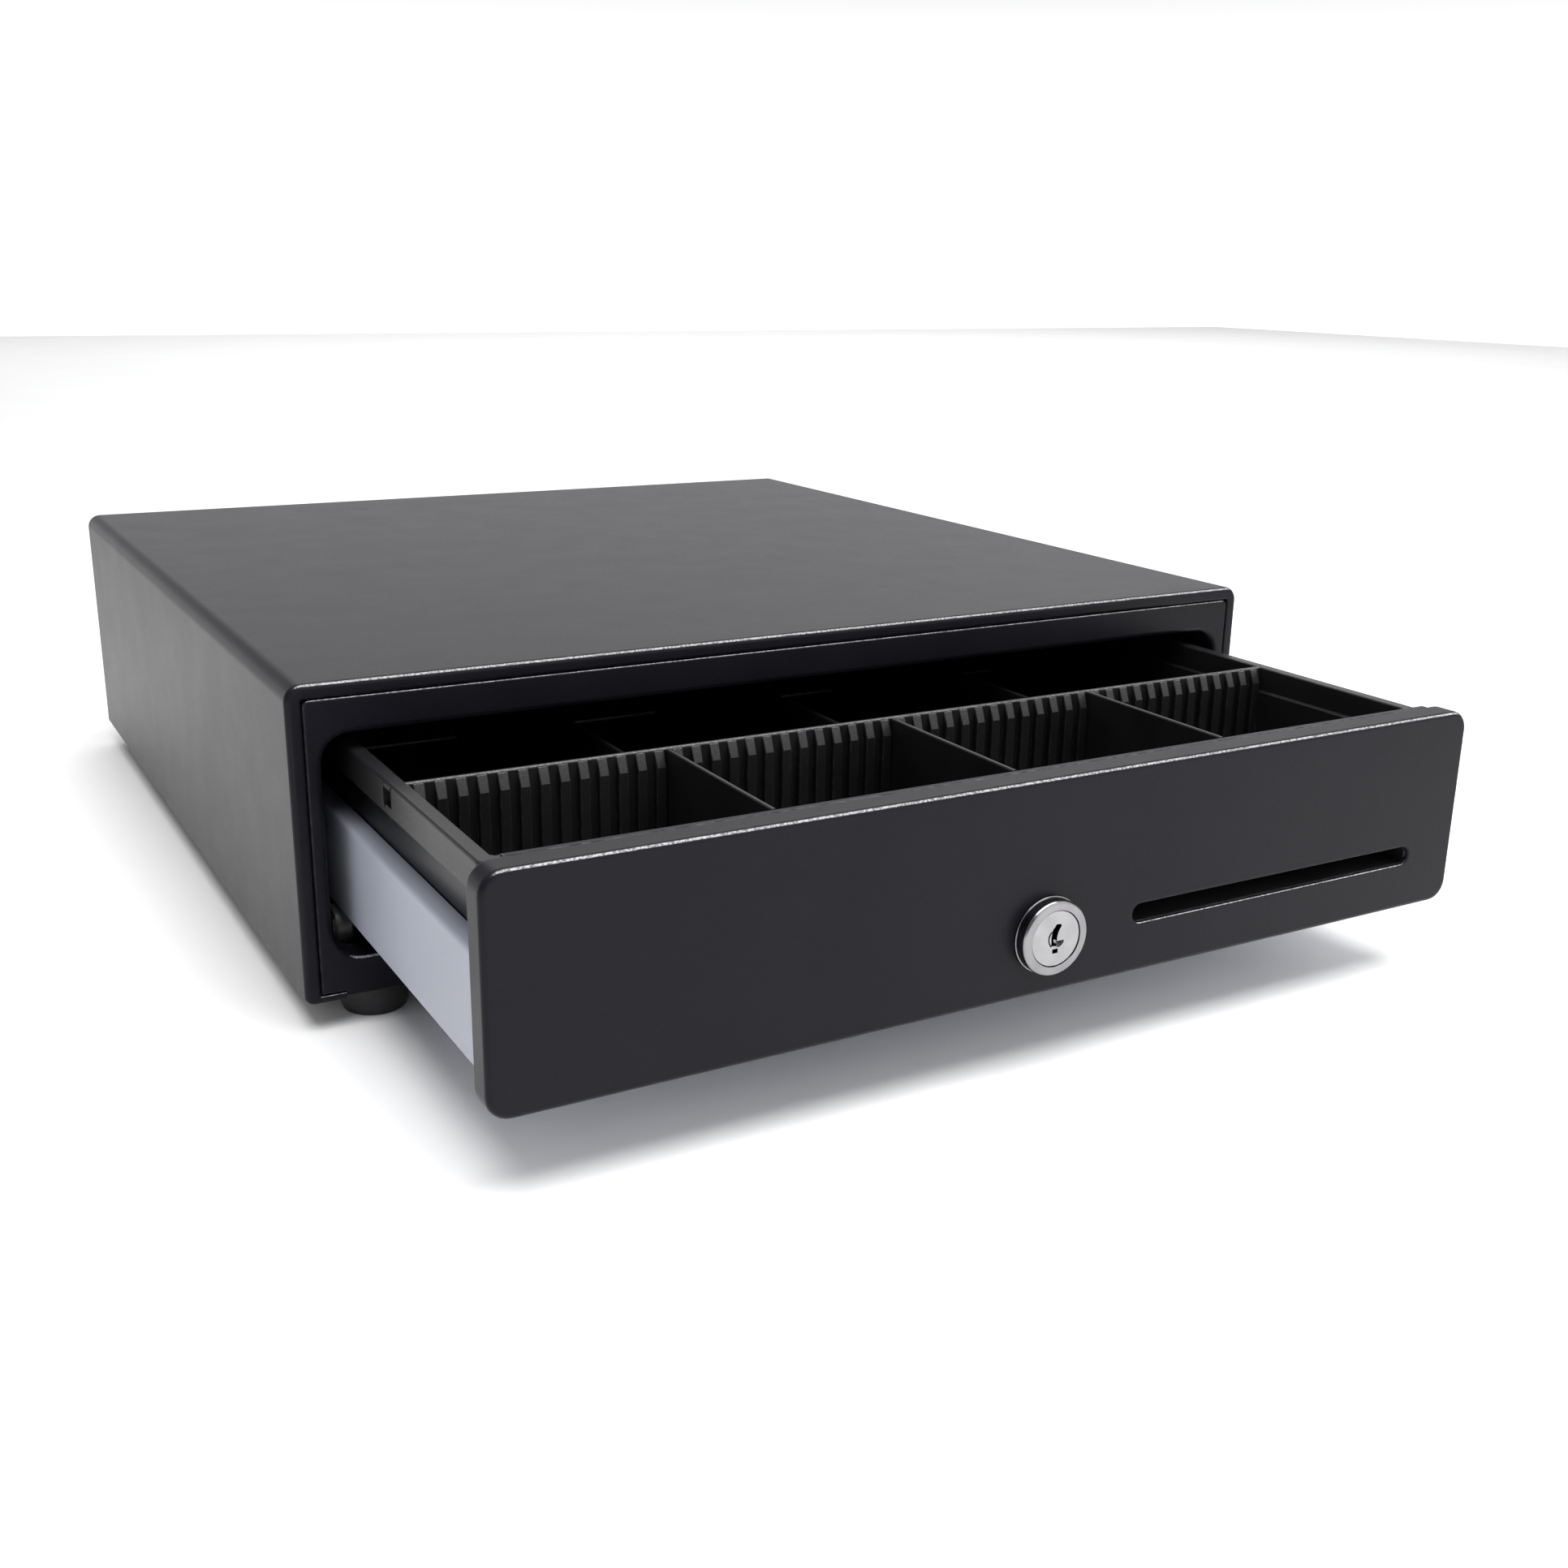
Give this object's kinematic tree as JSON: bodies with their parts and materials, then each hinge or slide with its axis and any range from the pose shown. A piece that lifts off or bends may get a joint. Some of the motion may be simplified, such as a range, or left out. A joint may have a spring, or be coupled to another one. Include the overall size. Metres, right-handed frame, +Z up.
{
  "type": "cash drawer",
  "caption": "Steel cash drawer on rubber feet: roller-mounted sliding drawer with lock, media slot and a plastic coin and note till, opened by a rear solenoid latch.",
  "frame": {"origin": "on the surface that the feet stand on, under the middle of the bounding box of the whole object with the drawer half open", "axes": "+Z up, -Y the way the drawer opens, +X to the right as seen by someone facing the drawer's front"},
  "size_m": [0.41, 0.5534, 0.122],
  "materials": {
    "black_coat": "black textured powder coat, satin",
    "grey_steel": "light blue-grey satin coated steel",
    "zinc_steel": "zinc-plated steel",
    "chrome": "satin-brushed chrome plate",
    "black_plastic": "matt moulded plastic",
    "till_plastic": "fine-grained black moulded plastic",
    "rubber": "matt black rubber",
    "nylon": "dark grey nylon",
    "spring_steel": "drawn spring wire and strip",
    "coil_winding": "taped copper winding",
    "lead_jacket": "black PVC insulation"
  },
  "bodies": {
    "housing": {"housing_cover": "black_coat", "base_pan": "black_coat", "front_bezel": "black_coat", "rear_panel": "black_coat", "foot_front_left": "rubber", "foot_front_right": "rubber", "foot_rear_left": "rubber", "foot_rear_right": "rubber", "rail_left": "zinc_steel", "rail_right": "zinc_steel", "roller_bracket_left": "zinc_steel", "roller_bracket_right": "zinc_steel", "latch_bracket": "zinc_steel", "latch_pivot_pin": "zinc_steel", "solenoid_frame": "zinc_steel", "solenoid_coil": "coil_winding", "plunger_spring": "spring_steel", "microswitch_body": "black_plastic", "ejector_guide": "black_plastic", "ejector_spring": "spring_steel", "rj_jack": "black_plastic", "lock_keeper": "zinc_steel", "solenoid_lead": "lead_jacket", "switch_lead": "lead_jacket"},
    "drawer": {"drawer_tray": "grey_steel", "drawer_back": "grey_steel", "drawer_front": "black_coat", "front_stiffener": "black_coat", "media_chute": "black_plastic", "striker": "zinc_steel", "rear_axle_left": "zinc_steel", "rear_axle_right": "zinc_steel", "lock_body": "chrome", "lock_nut": "zinc_steel", "bolt_guide": "zinc_steel", "till_tray": "till_plastic", "coin_divider_left": "till_plastic", "coin_divider_centre": "till_plastic", "coin_divider_right": "till_plastic", "note_divider_left": "till_plastic", "note_divider_centre": "till_plastic", "note_divider_right": "till_plastic", "clip_rod": "zinc_steel"},
    "front_roller_left": {"front_roller_left": "nylon"},
    "front_roller_right": {"front_roller_right": "nylon"},
    "rear_roller_left": {"rear_roller_left": "nylon"},
    "rear_roller_right": {"rear_roller_right": "nylon"},
    "lock_cylinder": {"lock_plug": "chrome", "lock_cam": "zinc_steel", "cam_screw": "zinc_steel"},
    "lock_bolt": {"lock_bolt": "zinc_steel"},
    "latch_hook": {"latch_hook": "zinc_steel"},
    "solenoid_plunger": {"solenoid_plunger": "zinc_steel"},
    "microswitch_lever": {"microswitch_lever": "spring_steel"},
    "ejector_pusher": {"ejector_pusher": "nylon"},
    "note_clip_1": {"note_clip_1": "till_plastic"},
    "note_clip_2": {"note_clip_2": "till_plastic"},
    "note_clip_3": {"note_clip_3": "till_plastic"},
    "note_clip_4": {"note_clip_4": "till_plastic"}
  },
  "joints": [
    {"name": "drawer_slide", "type": "slide", "parent": "housing", "child": "drawer", "axis": [0, -1, 0], "range_m": [-0.1375, 0.1375]},
    {"name": "front_roller_left_spin", "type": "hinge", "parent": "housing", "child": "front_roller_left", "pos_m": [-0.1852, -0.10625, 0.0265], "axis": [1, 0, 0], "continuous": true},
    {"name": "rear_roller_left_spin", "type": "hinge", "parent": "drawer", "child": "rear_roller_left", "pos_m": [-0.1958, 0.05325, 0.05], "axis": [1, 0, 0], "continuous": true},
    {"name": "front_roller_right_spin", "type": "hinge", "parent": "housing", "child": "front_roller_right", "pos_m": [0.1852, -0.10625, 0.0265], "axis": [1, 0, 0], "continuous": true},
    {"name": "rear_roller_right_spin", "type": "hinge", "parent": "drawer", "child": "rear_roller_right", "pos_m": [0.1958, 0.05325, 0.05], "axis": [1, 0, 0], "continuous": true},
    {"name": "key_turn", "type": "hinge", "parent": "drawer", "child": "lock_cylinder", "pos_m": [0, -0.26175, 0.0483], "axis": [0, 1, 0], "range_deg": [0, 90]},
    {"name": "bolt_slide", "type": "slide", "parent": "drawer", "child": "lock_bolt", "axis": [0, 0, -1], "range_m": [0, 0.0108]},
    {"name": "latch_turn", "type": "hinge", "parent": "housing", "child": "latch_hook", "pos_m": [0, 0.23975, 0.0475], "axis": [0, 0, 1], "range_deg": [0, 18]},
    {"name": "plunger_slide", "type": "slide", "parent": "housing", "child": "solenoid_plunger", "axis": [-1, 0, 0], "range_m": [0, 0.0042], "deforming": ["plunger_spring"]},
    {"name": "switch_lever_turn", "type": "hinge", "parent": "housing", "child": "microswitch_lever", "pos_m": [-0.0147, 0.23475, 0.0472], "axis": [0, 0, 1], "range_deg": [0, 10.5]},
    {"name": "ejector_slide", "type": "slide", "parent": "housing", "child": "ejector_pusher", "axis": [0, -1, 0], "range_m": [-0.0125, 0.0125], "deforming": ["ejector_spring"]},
    {"name": "note_clip_1_lift", "type": "hinge", "parent": "drawer", "child": "note_clip_1", "pos_m": [-0.134, 0.05025, 0.09], "axis": [-1, 0, 0], "range_deg": [0, 34], "stiffness_Nm_per_rad": 0.05, "springref_deg": -8.59},
    {"name": "note_clip_2_lift", "type": "hinge", "parent": "drawer", "child": "note_clip_2", "pos_m": [-0.04475, 0.05025, 0.09], "axis": [-1, 0, 0], "range_deg": [0, 34], "stiffness_Nm_per_rad": 0.05, "springref_deg": -8.59},
    {"name": "note_clip_3_lift", "type": "hinge", "parent": "drawer", "child": "note_clip_3", "pos_m": [0.04475, 0.05025, 0.09], "axis": [-1, 0, 0], "range_deg": [0, 34], "stiffness_Nm_per_rad": 0.05, "springref_deg": -8.59},
    {"name": "note_clip_4_lift", "type": "hinge", "parent": "drawer", "child": "note_clip_4", "pos_m": [0.134, 0.05025, 0.09], "axis": [-1, 0, 0], "range_deg": [0, 34], "stiffness_Nm_per_rad": 0.05, "springref_deg": -8.59}
  ],
  "couplings": [
    {"joint": "front_roller_left_spin", "follows": "drawer_slide", "rad_per_m": 125},
    {"joint": "front_roller_right_spin", "follows": "drawer_slide", "rad_per_m": 125},
    {"joint": "rear_roller_left_spin", "follows": "drawer_slide", "rad_per_m": 117.65},
    {"joint": "rear_roller_right_spin", "follows": "drawer_slide", "rad_per_m": 117.65},
    {"joint": "bolt_slide", "follows": "key_turn", "m_per_rad": 0.0067524},
    {"joint": "plunger_slide", "follows": "latch_turn", "m_per_rad": 0.012787},
    {"joint": "switch_lever_turn", "follows": "latch_turn", "ratio": 0.55556},
    {"joint": "ejector_slide", "follows": "drawer_slide", "ratio": 0.08727}
  ]
}
